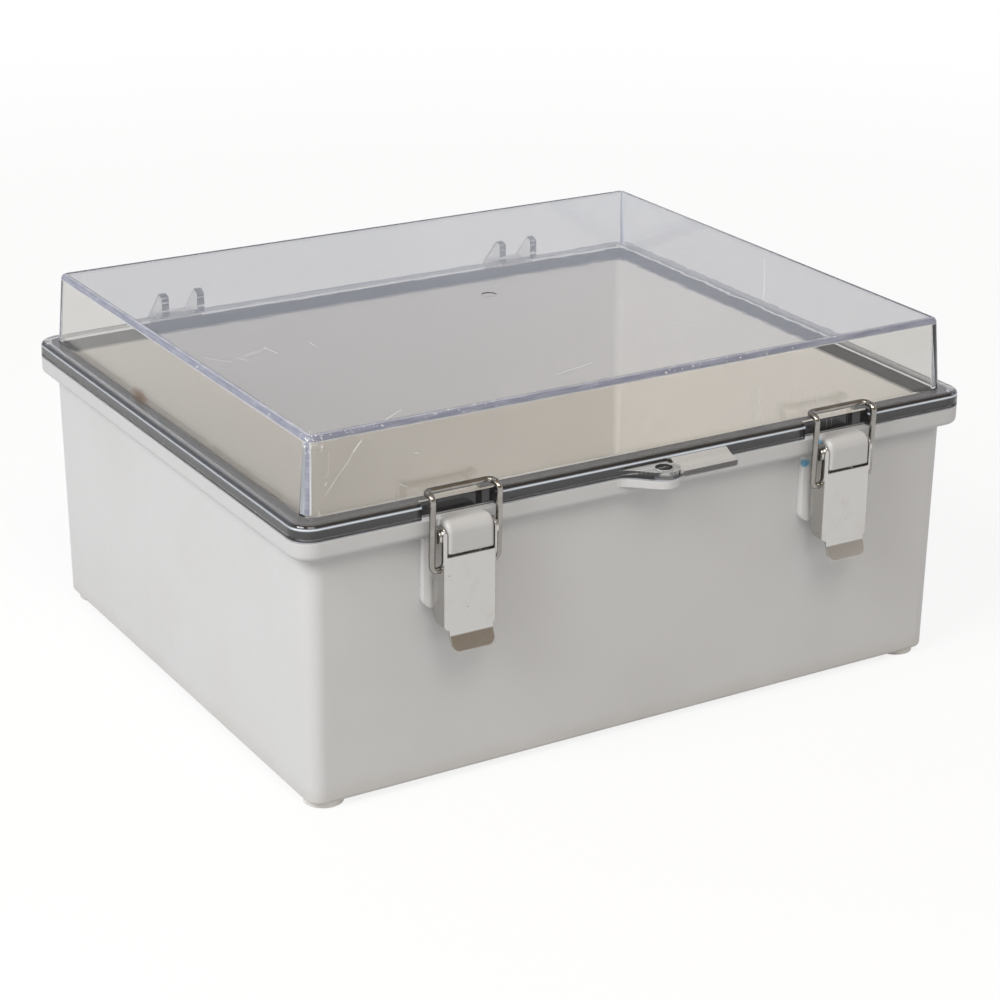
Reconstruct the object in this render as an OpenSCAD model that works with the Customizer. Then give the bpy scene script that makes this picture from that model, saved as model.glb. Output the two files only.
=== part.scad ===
// Hinged outdoor enclosure: moulded base, deep clear cover, two draw latches and a padlock lug.
// It lies on its back: +Z is up through the cover, -Y is the latched front, the origin is
// midway between the four feet on the surface that they stand on. Millimetres.

/* [Base] */
// Width over the flange, along X
box_w = 305; // [260:1:360]
// Depth over the flange, along Y
box_d = 253; // [210:1:300]
// Height of the base from its underside to its rim
base_h = 108.8; // [90:0.1:140]
// Thickness of the base walls
wall = 3; // [2.4:0.1:3.6]
// Thickness of the floor
floor_t = 3.2; // [2.4:0.1:5]
// How far each wall leans in from the rim to the floor
wall_lean = 1.1; // [0.4:0.1:2]
// Radius of the vertical corners of the base walls at the rim
wall_r = 7; // [6:0.1:9]
// Radius along the lower outer edge of the base
base_edge_r = 1.6; // [0.8:0.1:2.2]
// How far the flange stands out from the walls
flange_out = 5.5; // [4.8:0.1:7]
// Thickness of the base flange
flange_t = 7.1; // [6:0.1:9]
// Corner radius of both flanges in plan
flange_r = 8.7; // [8.4:0.1:12]
// Radius along the lower outer edge of the base flange
flange_edge_r = 2.2; // [1:0.1:2.6]

/* [Cover] */
// Gap between the two flanges when the cover is shut
rim_gap = 0.3; // [0.2:0.05:0.6]
// Thickness of the cover flange
cover_flange_t = 6.9; // [6:0.1:9]
// Radius along the upper outer edge of the cover flange
cover_flange_edge_r = 2.4; // [1:0.1:2.6]
// Height of the cover above its flange
cover_rise = 29.9; // [20:0.1:45]
// Wall thickness of the cover
cover_wall = 2.7; // [2.2:0.1:3]
// Distance from the flange edge to the foot of the cover walls
cover_in = 6.6; // [6.2:0.1:8]
// How far the cover walls lean in up to the top
cover_lean = 2.4; // [1:0.1:2.6]
// Radius of the cover's vertical corners at the flange
cover_r = 5.8; // [5.7:0.1:8]
// Radius along the top outer edge of the cover
cover_edge_r = 2.4; // [0.4:0.1:2.6]
// Diameter of the moulding gate mark on top
gate_d = 6.4; // [4:0.1:10]

/* [Seal] */
// Distance from the flange edge to the middle of the seal
seal_in = 6.2; // [6:0.1:6.5]
// Width of the groove in the cover flange
groove_w = 3.2; // [2.8:0.1:3.4]
// Depth of the groove
groove_depth = 5; // [3:0.1:5.2]
// Thickness of the gasket in the groove
gasket_t = 3.5; // [1.5:0.1:3.7]
// Width of the base's sealing rib
rib_w = 1.6; // [1.2:0.1:2]

/* [Latches] */
// Distance of each latch from the middle of the front
latch_x = 86.5; // [50:0.5:105]
// Width of the latch base plate
latch_base_w = 28; // [26:0.5:34]
// Height of the latch base plate below the flange
latch_base_h = 29; // [26:0.5:34]
// Thickness of the latch base plate
latch_base_t = 2.6; // [2:0.1:2.8]
// Outside width of the steel lever
lever_w = 22; // [20:0.2:24]
// Sheet thickness of the lever
lever_t = 0.9; // [0.6:0.1:1.2]
// Outside radius of the folds along the lever's face
lever_fold_r = 1.6; // [1.2:0.1:2]
// Distance of the lever's face in front of its pin
lever_front = 3.9; // [3.6:0.1:4.2]
// Length of the lever from its pin to the start of its tip
lever_len = 36.6; // [34:0.1:40]
// Angle through which the lever still closes from where it rests
close_turn = 3.5; // [2:0.1:4]
// Width of the turned-out lever tip
lever_tip_w = 18.4; // [15:0.1:19]
// Angle through which the lever tip turns out
lever_tip_turn = 22; // [15:1:35]
// Length of the flat of the lever tip beyond its bend
lever_tip_len = 6.5; // [5:0.1:8]
// Diameter of the latch pin
latch_pin_d = 3.2; // [2.6:0.1:3.6]
// Distance from the latch pin down to the bail's pivot
bail_drop = 13.5; // [12:0.1:15]
// Diameter of the bail wire
wire_d = 2.5; // [2:0.1:2.8]
// Distance between the middles of the bail's legs
bail_w = 28; // [27:0.1:30]
// Width of the catch block on the cover
catch_w = 20; // [12:0.5:22]
// Height of the catch block above the cover flange
catch_h = 1.7; // [1:0.1:1.8]
// Depth of the recess in the cover flange in front of the catch block
catch_recess = 3; // [2.6:0.1:3.2]

/* [Hinges] */
// Distance of each hinge from the middle of the rear
hinge_x = 86; // [50:0.5:110]
// Width of the base knuckle between the cover's ears
knuckle_w = 13; // [10:0.5:18]
// Thickness of each hinge ear of the cover
ear_t = 3.5; // [2.5:0.1:5]
// Height of the ears above the cover flange
ear_h = 10; // [6:0.1:12]
// Outside radius of the knuckle and of the ears round the pin
knuckle_r = 4.3; // [3.8:0.1:4.5]
// Diameter of the hinge pin
hinge_pin_d = 4; // [3:0.1:4.6]

/* [Padlock lug] */
// Diameter of the padlock hole
shackle_d = 7; // [5:0.1:8]
// Outside radius of the lugs round the padlock hole
lug_r = 6.3; // [5.5:0.1:8]
// Distance of the padlock hole in front of the flange
lug_out = 5; // [4:0.1:8]
// Length of the sweep from the flange into the lug
lug_run = 18; // [12:0.5:26]
// Thickness of the base lug
base_lug_t = 3.1; // [2:0.1:6]
// Thickness of the cover lug
cover_lug_t = 3.4; // [2:0.1:5]
// Length of the finger bar from the padlock hole
finger_len = 32; // [20:0.5:45]
// How far the finger bar stands out from the flange
finger_out = 10; // [6:0.1:12]
// Thickness of the finger bar at its front
finger_t = 2.3; // [1.5:0.1:3]

/* [Feet and fixings] */
// Diameter of the feet
foot_d = 15.4; // [12:0.1:18]
// Height of the feet
foot_h = 2.5; // [1.5:0.1:5]
// Distance of each foot's middle from the flange edges
foot_in = 16; // [15:0.5:22]
// Diameter of the foot's stem
foot_stem_d = 9; // [8.4:0.1:10]
// Length of the foot's stem
foot_stem_h = 8; // [7:0.1:10]
// Bore of the threaded inserts in the feet
mount_bore_d = 4.2; // [3:0.1:4.6]
// Length of the threaded inserts in the feet
mount_insert_h = 8; // [5:0.1:8.5]
// Distance of the plate bosses from the flange edges
boss_in = 31; // [29:0.5:45]
// Diameter of the plate bosses on the floor
boss_d = 10; // [8:0.1:12]
// Height of the plate bosses above the floor
boss_h = 9; // [7:0.1:14]
// Bore of the threaded inserts in the plate bosses
plate_bore_d = 3.3; // [2.5:0.1:3.6]
// Length of the threaded inserts in the plate bosses
plate_insert_h = 6; // [4:0.1:6.5]
// Shank diameter of the latch screws
screw_d = 3; // [2.5:0.1:3.4]

/* [Hidden] */
$fn = 48;

// Clearances
run_fit = 0.05;
seat_fit = 0.02;
side_gap = 0.3;
catch_gap = 0.35;
seal_gap = 0.3;
gasket_gap = 0.1;
head_gap = 0.1;
// Depth by which joined forms run into each other
lap = 0.5;

// Levels above the surface that the feet stand on
z_under = foot_h;
z_floor = z_under + floor_t;
z_rim = z_under + base_h;
z_flange = z_rim - flange_t;
z_cover = z_rim + rim_gap;
z_ledge = z_cover + cover_flange_t;
cover_h = cover_flange_t + cover_rise;

// Plan sizes
front = -box_d / 2;
rear = box_d / 2;
wall_w = box_w - 2 * flange_out;
wall_d = box_d - 2 * flange_out;
cover_w = box_w - 2 * cover_in;
cover_d = box_d - 2 * cover_in;
rim_strip = 3;

// Seal
rib_h = groove_depth - gasket_t - seal_gap + rim_gap;
gasket_w = groove_w - 2 * gasket_gap;

// Latch: places in the Y-Z plane at the latch's middle
wall_face = front + flange_out;
pad_out = 0.3;
pad_face = wall_face - pad_out;
plate_face = pad_face - latch_base_t;
plate_top = z_flange - head_gap;
plate_bottom = plate_top - latch_base_h;
plate_corner_r = 4;
latch_pin_out = 4.6;
latch_pin_drop = 5.2;
latch_pin_y = front - latch_pin_out;
latch_pin_z = z_rim - latch_pin_drop;

// Lever: its face, its round ears, and a back edge that closes flat against the base plate
ear_clear = 0.4;
lever_ear_r = latch_pin_out - ear_clear;
lever_face = latch_pin_y - lever_front;
face_drop = 7.2;
lever_top = latch_pin_z - face_drop;
lever_end = latch_pin_z - lever_len;
lever_corner_r = 6;
lever_neck_r = 3;
neck_drop = 1.5;
z_neck = z_flange - neck_drop;
z_shoulder = z_neck - 2 * neck_drop;
tip_bend_r = 5;
tip_corner_r = 4;
pad_r = 3.1;
pad_len = 8.4;
pad_t = 0.3;
function lever_back(z) = plate_face - side_gap - (latch_pin_z - z) * tan(close_turn);

// Hood over the lever's ears, and the core behind it that takes the screws
hood_w = lever_w - 2 * (lever_t + side_gap);
hood_lead = 0.4;
hood_front = lever_face - hood_lead;
hood_back = front - side_gap - head_gap;
hood_rise = 6.4;
hood_top = latch_pin_z + hood_rise;
hood_gap = 1.3;
hood_bottom = lever_top + hood_gap;
hood_brow_r = 4.5;
hood_edge_r = 1.8;
brow_y = hood_front + hood_brow_r;
brow_z = hood_top - hood_brow_r;
core_h = 6;
core_bottom = plate_top - core_h;
pin_head_d = latch_pin_d + 1.8;
pin_head_t = 0.95;

// Bail: its pivot in the lever, and its bar just in front of the catch block
wire_r = wire_d / 2;
bail_back = 0.9;
bail_y = latch_pin_y + bail_back;
bail_z = latch_pin_z - bail_drop;
bail_lean = 2;
bail_bend_r = 2.4;
bar_rise = 0.65;
bar_y = front + catch_recess - catch_gap - wire_r;
bar_z = z_ledge + catch_h + bar_rise + wire_r;
bail_reach = (bar_y - bail_y) * cos(bail_lean) + (bar_z - bail_z) * sin(bail_lean);
bail_high = (bar_z - bail_z) * cos(bail_lean) - (bar_y - bail_y) * sin(bail_lean);
stub_bite = 2.2;
bail_stub_in = lever_w / 2 - stub_bite;
recess_room = 0.75;
recess_w = bail_w + wire_d + 2 * recess_room;

// Latch screws, through the front wall into the hood
latch_screw_x = 5.5;
latch_screw_z = plate_top - core_h / 2;
latch_screw_bite = 5;
screw_clear = 0.3;
screw_head_d = 2 * screw_d;
screw_head_t = 1.8;

// Hinge
hinge_out = 0.6;
hinge_rise = 1.9;
hinge_y = rear + knuckle_r + hinge_out;
hinge_z = z_cover + hinge_rise;
ear_mid = knuckle_w / 2 + side_gap / 2 + ear_t / 2;
ear_foot = rear - cover_in + head_gap;
ear_slope = 3.4;
ear_drop = 1.2;

// Padlock lug, finger bar and gate mark
gate_depth = 0.3;
lug_y = front - lug_out;
lug_web = 0.8;
finger_start = shackle_d / 2 + lug_web;
finger_rise = 4.8;
finger_scoop = 1.1;
finger_corner_r = 2.5;

// Feet, inserts and bosses
foot_x = box_w / 2 - foot_in;
foot_y = box_d / 2 - foot_in;
boss_wall = 2.4;
boss_cap = 1.5;
foot_boss_r = foot_stem_d / 2 + boss_wall;
foot_boss_h = foot_stem_h + boss_cap;
insert_wall = 1.2;
mount_insert_r = mount_bore_d / 2 + insert_wall;
boss_x = box_w / 2 - boss_in;
boss_y = box_d / 2 - boss_in;
plate_insert_r = plate_bore_d / 2 + insert_wall;

// Colours
base_grey = [0.83, 0.82, 0.80];
latch_white = [0.93, 0.93, 0.91];
clear_tint = [0.86, 0.90, 0.94, 0.35];
gasket_grey = [0.16, 0.16, 0.17];
steel = [0.74, 0.73, 0.71];
wire_steel = [0.62, 0.60, 0.57];
brass = [0.78, 0.62, 0.30];

// Points along an arc of radius r about c, from angle a0 to angle a1
function arc(c, r, a0, a1, n = 6) =
  [for (i = [0 : n]) let (a = a0 + (a1 - a0) * i / n) [c[0] + r * cos(a), c[1] + r * sin(a)]];

// Plan of a rectangle with round corners
module rounded_plan(w, d, r) {
  square([w - 2 * r, d], center = true);
  square([w, d - 2 * r], center = true);
  for (x = [-1, 1], y = [-1, 1])
    translate([x * (w / 2 - r), y * (d / 2 - r)]) circle(r);
}

// Carries a section (X outwards from the outline, Y up) round a rectangle with round corners
module around(w, d, r) {
  for (side = [0 : 3])
    rotate(90 * side) {
      across = side % 2 == 0 ? w : d;
      along = side % 2 == 0 ? d : w;
      translate([across / 2, 0, 0]) rotate([90, 0, 0])
        linear_extrude(along - 2 * r, center = true) children();
      translate([across / 2 - r, along / 2 - r, 0])
        rotate_extrude(angle = 90) translate([r, 0]) children();
    }
}

// Extrudes a Y-Z section along X, centred on X = 0
module along_x(length) {
  rotate([90, 0, 90]) linear_extrude(length, center = true) children();
}

// Round bar along X, centred on X = 0
module x_rod(d, length) {
  rotate([0, 90, 0]) cylinder(d = d, h = length, center = true);
}

// Copies to both ends of the width
module both_ends(x) {
  for (s = [-1, 1]) translate([s * x, 0, 0]) children();
}

// Copies to the four corners of a rectangle
module four_corners(x, y) {
  for (i = [-1, 1], j = [-1, 1]) translate([i * x, j * y, 0]) children();
}

// Base walls with their lean and their rounded lower edge, and the floor between them
module base_tub() {
  floor_lap = wall_lean + wall / 2;
  lower_edge = arc([-wall_lean - base_edge_r, base_edge_r - base_h], base_edge_r, 270, 360);
  translate([0, 0, z_rim]) around(wall_w, wall_d, wall_r)
    polygon(concat([[0, 0], [-wall, 0], [-wall - wall_lean, -base_h]], lower_edge));
  translate([0, 0, z_under]) linear_extrude(floor_t)
    rounded_plan(wall_w - 2 * floor_lap, wall_d - 2 * floor_lap, wall_r - floor_lap);
}

// Flat ring between the rounded edge strip of a flange and the middle of a wall
module flange_web(thick, inner_w, inner_d, inner_r) {
  strip_in = rim_strip - lap;
  linear_extrude(thick) difference() {
    rounded_plan(box_w - 2 * strip_in, box_d - 2 * strip_in, flange_r - strip_in);
    rounded_plan(inner_w, inner_d, inner_r);
  }
}

// Base flange with its rounded lower edge, and the sealing rib that stands on it
module base_flange() {
  lower_edge = arc([-flange_edge_r, flange_edge_r], flange_edge_r, 270, 360);
  translate([0, 0, z_flange]) {
    around(box_w, box_d, flange_r)
      polygon(concat([[0, flange_t], [-rim_strip, flange_t], [-rim_strip, 0]], lower_edge));
    flange_web(flange_t, wall_w - wall, wall_d - wall, wall_r - wall / 2);
    translate([0, 0, flange_t - lap]) around(box_w, box_d, flange_r)
      translate([-seal_in - rib_w / 2, 0]) square([rib_w, rib_h + lap]);
  }
}

// Plan of the padlock lug: an easy sweep out of the flange on the left, round at the hole
module lug_plan() {
  steps = 10;
  reach = lug_out + lug_r;
  sweep = [for (i = [0 : steps])
    [-lug_run * (1 - i / steps), front - reach * (1 - cos(180 * i / steps)) / 2]];
  difference() {
    union() {
      polygon(concat([[-lug_run, front + rim_strip]], sweep,
                     [[lug_r, lug_y], [lug_r, front + rim_strip]]));
      translate([0, lug_y]) circle(lug_r);
    }
    translate([0, lug_y]) circle(d = shackle_d);
  }
}

// Section of the base knuckle: an eye round the hinge pin on an arm from the flange
module knuckle_section() {
  translate([hinge_y, hinge_z]) circle(knuckle_r);
  polygon([[rear - rim_strip, z_flange + flange_edge_r], [rear - rim_strip, z_rim],
           [rear + hinge_out, z_rim], [hinge_y, hinge_z], [hinge_y + knuckle_r, hinge_z],
           [hinge_y + knuckle_r * cos(40), hinge_z - knuckle_r * sin(40)],
           [rear, z_flange + flange_edge_r]]);
}

// Flat slab on the front wall, round at its lower corners, from y towards the front
module latch_slab(y, thick) {
  translate([0, y, 0]) rotate([90, 0, 0]) linear_extrude(thick) {
    translate([0, plate_bottom + latch_base_h / 2])
      rounded_plan(latch_base_w, latch_base_h, plate_corner_r);
    translate([-latch_base_w / 2, plate_top - latch_base_h / 2])
      square([latch_base_w, latch_base_h / 2]);
  }
}

// Boss inside a corner of the floor that takes the stem of a foot
module foot_boss() {
  translate([0, 0, z_under + lap]) cylinder(r = foot_boss_r, h = foot_boss_h - lap);
}

module base_shell() {
  color(base_grey) difference() {
    union() {
      base_tub();
      base_flange();
      translate([0, 0, z_rim - base_lug_t]) linear_extrude(base_lug_t) lug_plan();
      both_ends(hinge_x) along_x(knuckle_w) knuckle_section();
      both_ends(latch_x) latch_slab(wall_face + wall / 2, wall / 2 + pad_out);
      four_corners(foot_x, foot_y) foot_boss();
      translate([0, 0, z_floor - lap])
        four_corners(boss_x, boss_y) cylinder(d = boss_d, h = boss_h + lap);
    }
    both_ends(hinge_x) translate([0, hinge_y, hinge_z])
      x_rod(hinge_pin_d + 2 * seat_fit, knuckle_w + 2);
    four_corners(foot_x, foot_y) translate([0, 0, z_under - 1])
      cylinder(d = foot_stem_d + 2 * seat_fit, h = foot_stem_h + 1);
    translate([0, 0, z_floor + boss_h - plate_insert_h])
      four_corners(boss_x, boss_y) cylinder(r = plate_insert_r + seat_fit, h = plate_insert_h + 1);
    both_ends(latch_x) both_ends(latch_screw_x) translate([0, wall_face, latch_screw_z])
      rotate([90, 0, 0]) cylinder(d = screw_d + 2 * run_fit, h = 4 * wall, center = true);
  }
}

// Round foot with its stem, bored from below for its threaded insert
module foot(sx, sy) {
  color(latch_white) translate([sx * foot_x, sy * foot_y, 0]) difference() {
    union() {
      cylinder(d = foot_d, h = foot_h);
      cylinder(d = foot_stem_d, h = foot_h + foot_stem_h);
    }
    translate([0, 0, -1]) cylinder(r = mount_insert_r + seat_fit, h = mount_insert_h + 1);
  }
}

// Plain threaded insert, drawn with its clear bore
module insert(r, bore_d, h) {
  difference() {
    cylinder(r = r, h = h);
    translate([0, 0, -1]) cylinder(d = bore_d, h = h + 2);
  }
}

module mount_inserts() {
  color(brass) four_corners(foot_x, foot_y) insert(mount_insert_r, mount_bore_d, mount_insert_h);
}

module plate_inserts() {
  color(brass) translate([0, 0, z_floor + boss_h - plate_insert_h])
    four_corners(boss_x, boss_y) insert(plate_insert_r, plate_bore_d, plate_insert_h);
}

// Section across the hood's skin (X across, Y outwards) with its two round edges
module hood_across() {
  half = hood_w / 2;
  edge = [half - hood_edge_r, hood_brow_r - hood_edge_r];
  right_edge = arc(edge, hood_edge_r, 0, 90, 5);
  left_edge = arc([-edge[0], edge[1]], hood_edge_r, 90, 180, 5);
  polygon(concat([[-half, 0], [half, 0]], right_edge, left_edge));
}

// Hood in front of the flange: the skin runs up the front, over the brow and back to the rim
module hood() {
  translate([0, brow_y, hood_bottom]) linear_extrude(brow_z - hood_bottom)
    mirror([0, 1]) hood_across();
  translate([0, brow_y, brow_z]) rotate([90, 0, 90]) rotate(90)
    rotate_extrude(angle = 90) rotate(-90) hood_across();
  translate([0, hood_back, brow_z]) rotate([90, 0, 0]) linear_extrude(hood_back - brow_y)
    hood_across();
  along_x(hood_w)
    polygon([[pad_face - lap, core_bottom], [brow_y, core_bottom], [brow_y, brow_z],
             [hood_back, brow_z], [hood_back, plate_top], [pad_face - lap, plate_top]]);
}

module latch_base(side) {
  color(latch_white) translate([side * latch_x, 0, 0]) difference() {
    union() {
      latch_slab(pad_face, latch_base_t);
      hood();
    }
    translate([0, latch_pin_y, latch_pin_z]) x_rod(latch_pin_d + 2 * seat_fit, hood_w + 2);
    both_ends(latch_screw_x) translate([0, pad_face + 1, latch_screw_z])
      rotate([90, 0, 0]) cylinder(d = screw_d + 2 * seat_fit, h = latch_screw_bite + screw_clear + 1);
  }
}

// Two pan-head screws from inside the box into the latch base
module latch_screws(side) {
  head_seat = wall_face + wall + wall_lean * (z_rim - latch_screw_z) / base_h;
  color(steel) translate([side * latch_x, 0, 0]) both_ends(latch_screw_x)
    translate([0, head_seat + head_gap, latch_screw_z]) rotate([90, 0, 0]) {
      translate([0, 0, -screw_head_t]) cylinder(d = screw_head_d, h = screw_head_t);
      cylinder(d = screw_d, h = head_seat + head_gap - pad_face + latch_screw_bite);
    }
}

// Pin through the hood, with a low head outside each side of the lever
module latch_pin(side) {
  span = lever_w + 2 * (pad_t + head_gap);
  color(steel) translate([side * latch_x, latch_pin_y, latch_pin_z]) {
    x_rod(latch_pin_d, span);
    both_ends(span / 2 + pin_head_t / 2) x_rod(pin_head_d, pin_head_t);
  }
}

// Side view of the lever: round ears on the pin, a straight back and a round lower corner
module lever_side_view() {
  ear_back = latch_pin_y + lever_ear_r;
  corner_z = lever_end + lever_corner_r;
  translate([latch_pin_y, latch_pin_z]) circle(lever_ear_r);
  polygon(concat([[lever_face, lever_end], [lever_face, latch_pin_z], [ear_back, latch_pin_z],
                  [ear_back, z_neck], [lever_back(z_shoulder), z_shoulder]],
                 arc([lever_back(corner_z) - lever_corner_r, corner_z], lever_corner_r, 0, -90)));
}

// Plan of the lever's folded channel, open at the back
module lever_channel() {
  reach = wall_face - lever_face;
  inside = lever_w - 2 * lever_t;
  translate([0, lever_face + reach]) difference() {
    rounded_plan(lever_w, 2 * reach, lever_fold_r);
    rounded_plan(inside, 2 * (reach - lever_t), lever_fold_r - lever_t);
    translate([-inside / 2, 0]) square([inside, reach]);
  }
}

// Front view of the lever's channel, with round lower corners
module lever_front_view(height) {
  translate([0, wall_face, lever_end + height]) rotate([90, 0, 0])
    linear_extrude(2 * (wall_face - lever_face))
      rounded_plan(lever_w + 2 * lap, 2 * height, lever_neck_r);
}

// Raised pad on an ear, from round the pin down to the bail's pivot
module ear_pad() {
  along_x(pad_t + lap) {
    translate([latch_pin_y, latch_pin_z]) circle(pad_r);
    translate([latch_pin_y, latch_pin_z - pad_len]) circle(pad_r);
    translate([latch_pin_y - pad_r, latch_pin_z - pad_len]) square([2 * pad_r, pad_len]);
  }
}

// Tip of the lever: a bent strip with round corners that stands out for a finger
module lever_tip() {
  centre = [lever_face - tip_bend_r, lever_end];
  turn = -lever_tip_turn;
  along = [sin(turn), -cos(turn)] * lever_tip_len;
  back_bend = arc(centre, tip_bend_r + lever_t, turn, 0, 6);
  front_bend = arc(centre, tip_bend_r, 0, turn, 6);
  tip_h = (tip_bend_r + lever_t) * sin(lever_tip_turn) + lever_tip_len * cos(lever_tip_turn);
  intersection() {
    along_x(lever_tip_w)
      polygon(concat([[lever_face, lever_end + lap]], front_bend, [front_bend[6] + along],
                     [back_bend[0] + along], back_bend, [[lever_face + lever_t, lever_end + lap]]));
    translate([0, wall_face, lever_end]) rotate([90, 0, 0]) linear_extrude(2 * (wall_face - lever_face))
      rounded_plan(lever_tip_w + lap, 2 * tip_h, tip_corner_r);
  }
}

module latch_lever(side) {
  inside = lever_w - 2 * lever_t;
  height = latch_pin_z + lever_ear_r - lever_end;
  color(steel) translate([side * latch_x, 0, 0]) difference() {
    union() {
      intersection() {
        translate([0, 0, lever_end]) linear_extrude(height) lever_channel();
        along_x(lever_w + 2) lever_side_view();
        lever_front_view(height);
      }
      both_ends((lever_w + pad_t - lap) / 2) ear_pad();
      lever_tip();
    }
    translate([-inside / 2, lever_face - 1, lever_top]) cube([inside, lever_fold_r + 1, height]);
    translate([0, latch_pin_y, latch_pin_z]) x_rod(latch_pin_d + 2 * run_fit, lever_w + 2);
    translate([0, bail_y, bail_z]) x_rod(wire_d + 2 * run_fit, lever_w + 2);
  }
}

// Quarter bend in the bail wire, from +X to +Y about its centre
module wire_bend() {
  rotate_extrude(angle = 90) translate([bail_bend_r, 0]) circle(wire_r);
}

// Half of the bail from its pivot stub up to the middle of its bar, pivot on the X axis
module half_bail() {
  leg_x = bail_w / 2;
  bend = bail_bend_r;
  translate([bail_stub_in, 0, 0]) rotate([0, 90, 0]) cylinder(r = wire_r, h = leg_x - bend - bail_stub_in);
  translate([leg_x - bend, 0, bend]) rotate([90, 0, 0]) rotate(-90) wire_bend();
  translate([leg_x, 0, bend]) cylinder(r = wire_r, h = bail_high - 2 * bend);
  translate([leg_x, bend, bail_high - bend]) rotate([90, 0, 90]) rotate(90) wire_bend();
  translate([leg_x, bend, bail_high]) rotate([-90, 0, 0])
    cylinder(r = wire_r, h = bail_reach - 2 * bend);
  translate([leg_x - bend, bail_reach - bend, bail_high]) wire_bend();
  translate([0, bail_reach, bail_high]) rotate([0, 90, 0]) cylinder(r = wire_r, h = leg_x - bend);
}

module latch_bail(side) {
  color(wire_steel) translate([side * latch_x, bail_y, bail_z]) rotate([bail_lean, 0, 0]) {
    half_bail();
    mirror([1, 0, 0]) half_bail();
  }
}

module hinge_pin(side) {
  color(steel) translate([side * hinge_x, hinge_y, hinge_z]) x_rod(hinge_pin_d, 2 * ear_mid + ear_t);
}

// Cover walls with their lean and rounded top edge, and the top plate between them
module cover_hood() {
  top_lap = cover_lean + (cover_edge_r + cover_wall) / 2;
  top_edge = arc([-cover_lean - cover_edge_r, cover_h - cover_edge_r], cover_edge_r, 0, 90);
  around(cover_w, cover_d, cover_r)
    polygon(concat([[0, 0], [0, cover_flange_t]], top_edge,
                   [[-cover_lean - cover_wall, cover_h], [-cover_wall, cover_flange_t],
                    [-cover_wall, 0]]));
  translate([0, 0, cover_h - cover_wall]) linear_extrude(cover_wall)
    rounded_plan(cover_w - 2 * top_lap, cover_d - 2 * top_lap, cover_r - top_lap);
}

// Cover flange with its rounded upper edge, recessed in front of each catch block
module cover_flange() {
  upper_edge = arc([-cover_flange_edge_r, cover_flange_t - cover_flange_edge_r],
                   cover_flange_edge_r, 0, 90);
  difference() {
    union() {
      around(box_w, box_d, flange_r)
        polygon(concat([[-rim_strip, 0], [0, 0]], upper_edge, [[-rim_strip, cover_flange_t]]));
      flange_web(cover_flange_t, cover_w - cover_wall, cover_d - cover_wall, cover_r - cover_wall / 2);
    }
    both_ends(latch_x) translate([-recess_w / 2, front - 1, -1])
      cube([recess_w, catch_recess + 1, cover_flange_t + 2]);
  }
}

// Section of the finger bar: thin at the front, with a hollow top that rises to the flange
module finger_section() {
  steps = 8;
  top = [for (i = [0 : steps]) let (t = i / steps)
    [front - finger_out * (1 - t),
     finger_t + (finger_rise - finger_t) * t - finger_scoop * sin(180 * t)]];
  polygon(concat([[front + rim_strip, 0], [front - finger_out, 0]], top,
                 [[front + rim_strip, finger_rise]]));
}

// Finger bar beside the padlock lug, with a round outer corner
module finger_bar() {
  intersection() {
    translate([(finger_start + finger_len) / 2, 0, 0])
      along_x(finger_len - finger_start) finger_section();
    translate([0, front, -1]) linear_extrude(2 * cover_flange_t)
      rounded_plan(2 * finger_len, 2 * finger_out, finger_corner_r);
  }
}

// Section of a hinge ear: a gusset on the flange that slopes down to an eye round the pin
module ear_section() {
  peak = z_ledge + ear_h;
  difference() {
    union() {
      translate([hinge_y, hinge_z]) circle(knuckle_r);
      polygon([[ear_foot, z_ledge - lap], [ear_foot, peak - ear_drop], [ear_foot + ear_slope, peak],
               [hinge_y + knuckle_r * cos(45), hinge_z + knuckle_r * sin(45)],
               [hinge_y, hinge_z], [hinge_y, z_cover], [rear - rim_strip, z_cover],
               [rear - rim_strip, z_ledge - lap]]);
    }
    translate([hinge_y, hinge_z]) circle(d = hinge_pin_d + 2 * run_fit);
  }
}

module clear_cover() {
  color(clear_tint) {
    translate([0, 0, z_cover]) difference() {
      union() {
        cover_hood();
        cover_flange();
        both_ends(latch_x) translate([-catch_w / 2, front + catch_recess, cover_flange_t - lap])
          cube([catch_w, cover_in - catch_recess + lap, catch_h + lap]);
        linear_extrude(cover_lug_t) lug_plan();
        finger_bar();
      }
      translate([0, 0, -1]) around(box_w, box_d, flange_r)
        translate([-seal_in - groove_w / 2, 0]) square([groove_w, groove_depth + 1]);
      translate([0, 0, cover_h - gate_depth]) cylinder(d = gate_d, h = 1);
    }
    both_ends(hinge_x) both_ends(ear_mid) along_x(ear_t) ear_section();
  }
}

module cover_gasket() {
  color(gasket_grey) translate([0, 0, z_cover + groove_depth - gasket_t]) around(box_w, box_d, flange_r)
    translate([-seal_in - gasket_w / 2, 0]) square([gasket_w, gasket_t]);
}

base_shell();
foot(-1, -1);  // foot_front_left
foot(1, -1);  // foot_front_right
foot(-1, 1);  // foot_rear_left
foot(1, 1);  // foot_rear_right
mount_inserts();
plate_inserts();
latch_base(-1);  // latch_base_left
latch_base(1);  // latch_base_right
latch_screws(-1);  // latch_screws_left
latch_screws(1);  // latch_screws_right
latch_pin(-1);  // latch_pin_left
latch_pin(1);  // latch_pin_right
latch_lever(-1);  // latch_lever_left
latch_lever(1);  // latch_lever_right
latch_bail(-1);  // latch_bail_left
latch_bail(1);  // latch_bail_right
hinge_pin(-1);  // hinge_pin_left
hinge_pin(1);  // hinge_pin_right
clear_cover();
cover_gasket();
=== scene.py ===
# %% [markdown]
# # Looks for a hinged outdoor enclosure
# The object is a light grey moulded box with a deep clear cover, two steel draw latches and a
# padlock lug. Every rigid form already comes from the CAD model, at its real size and in metres.
# This lesson gives those forms their finishes, then sets up a small studio round them.

# %% Load the packed model
import math

import bpy
from mathutils import Matrix, Vector


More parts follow.
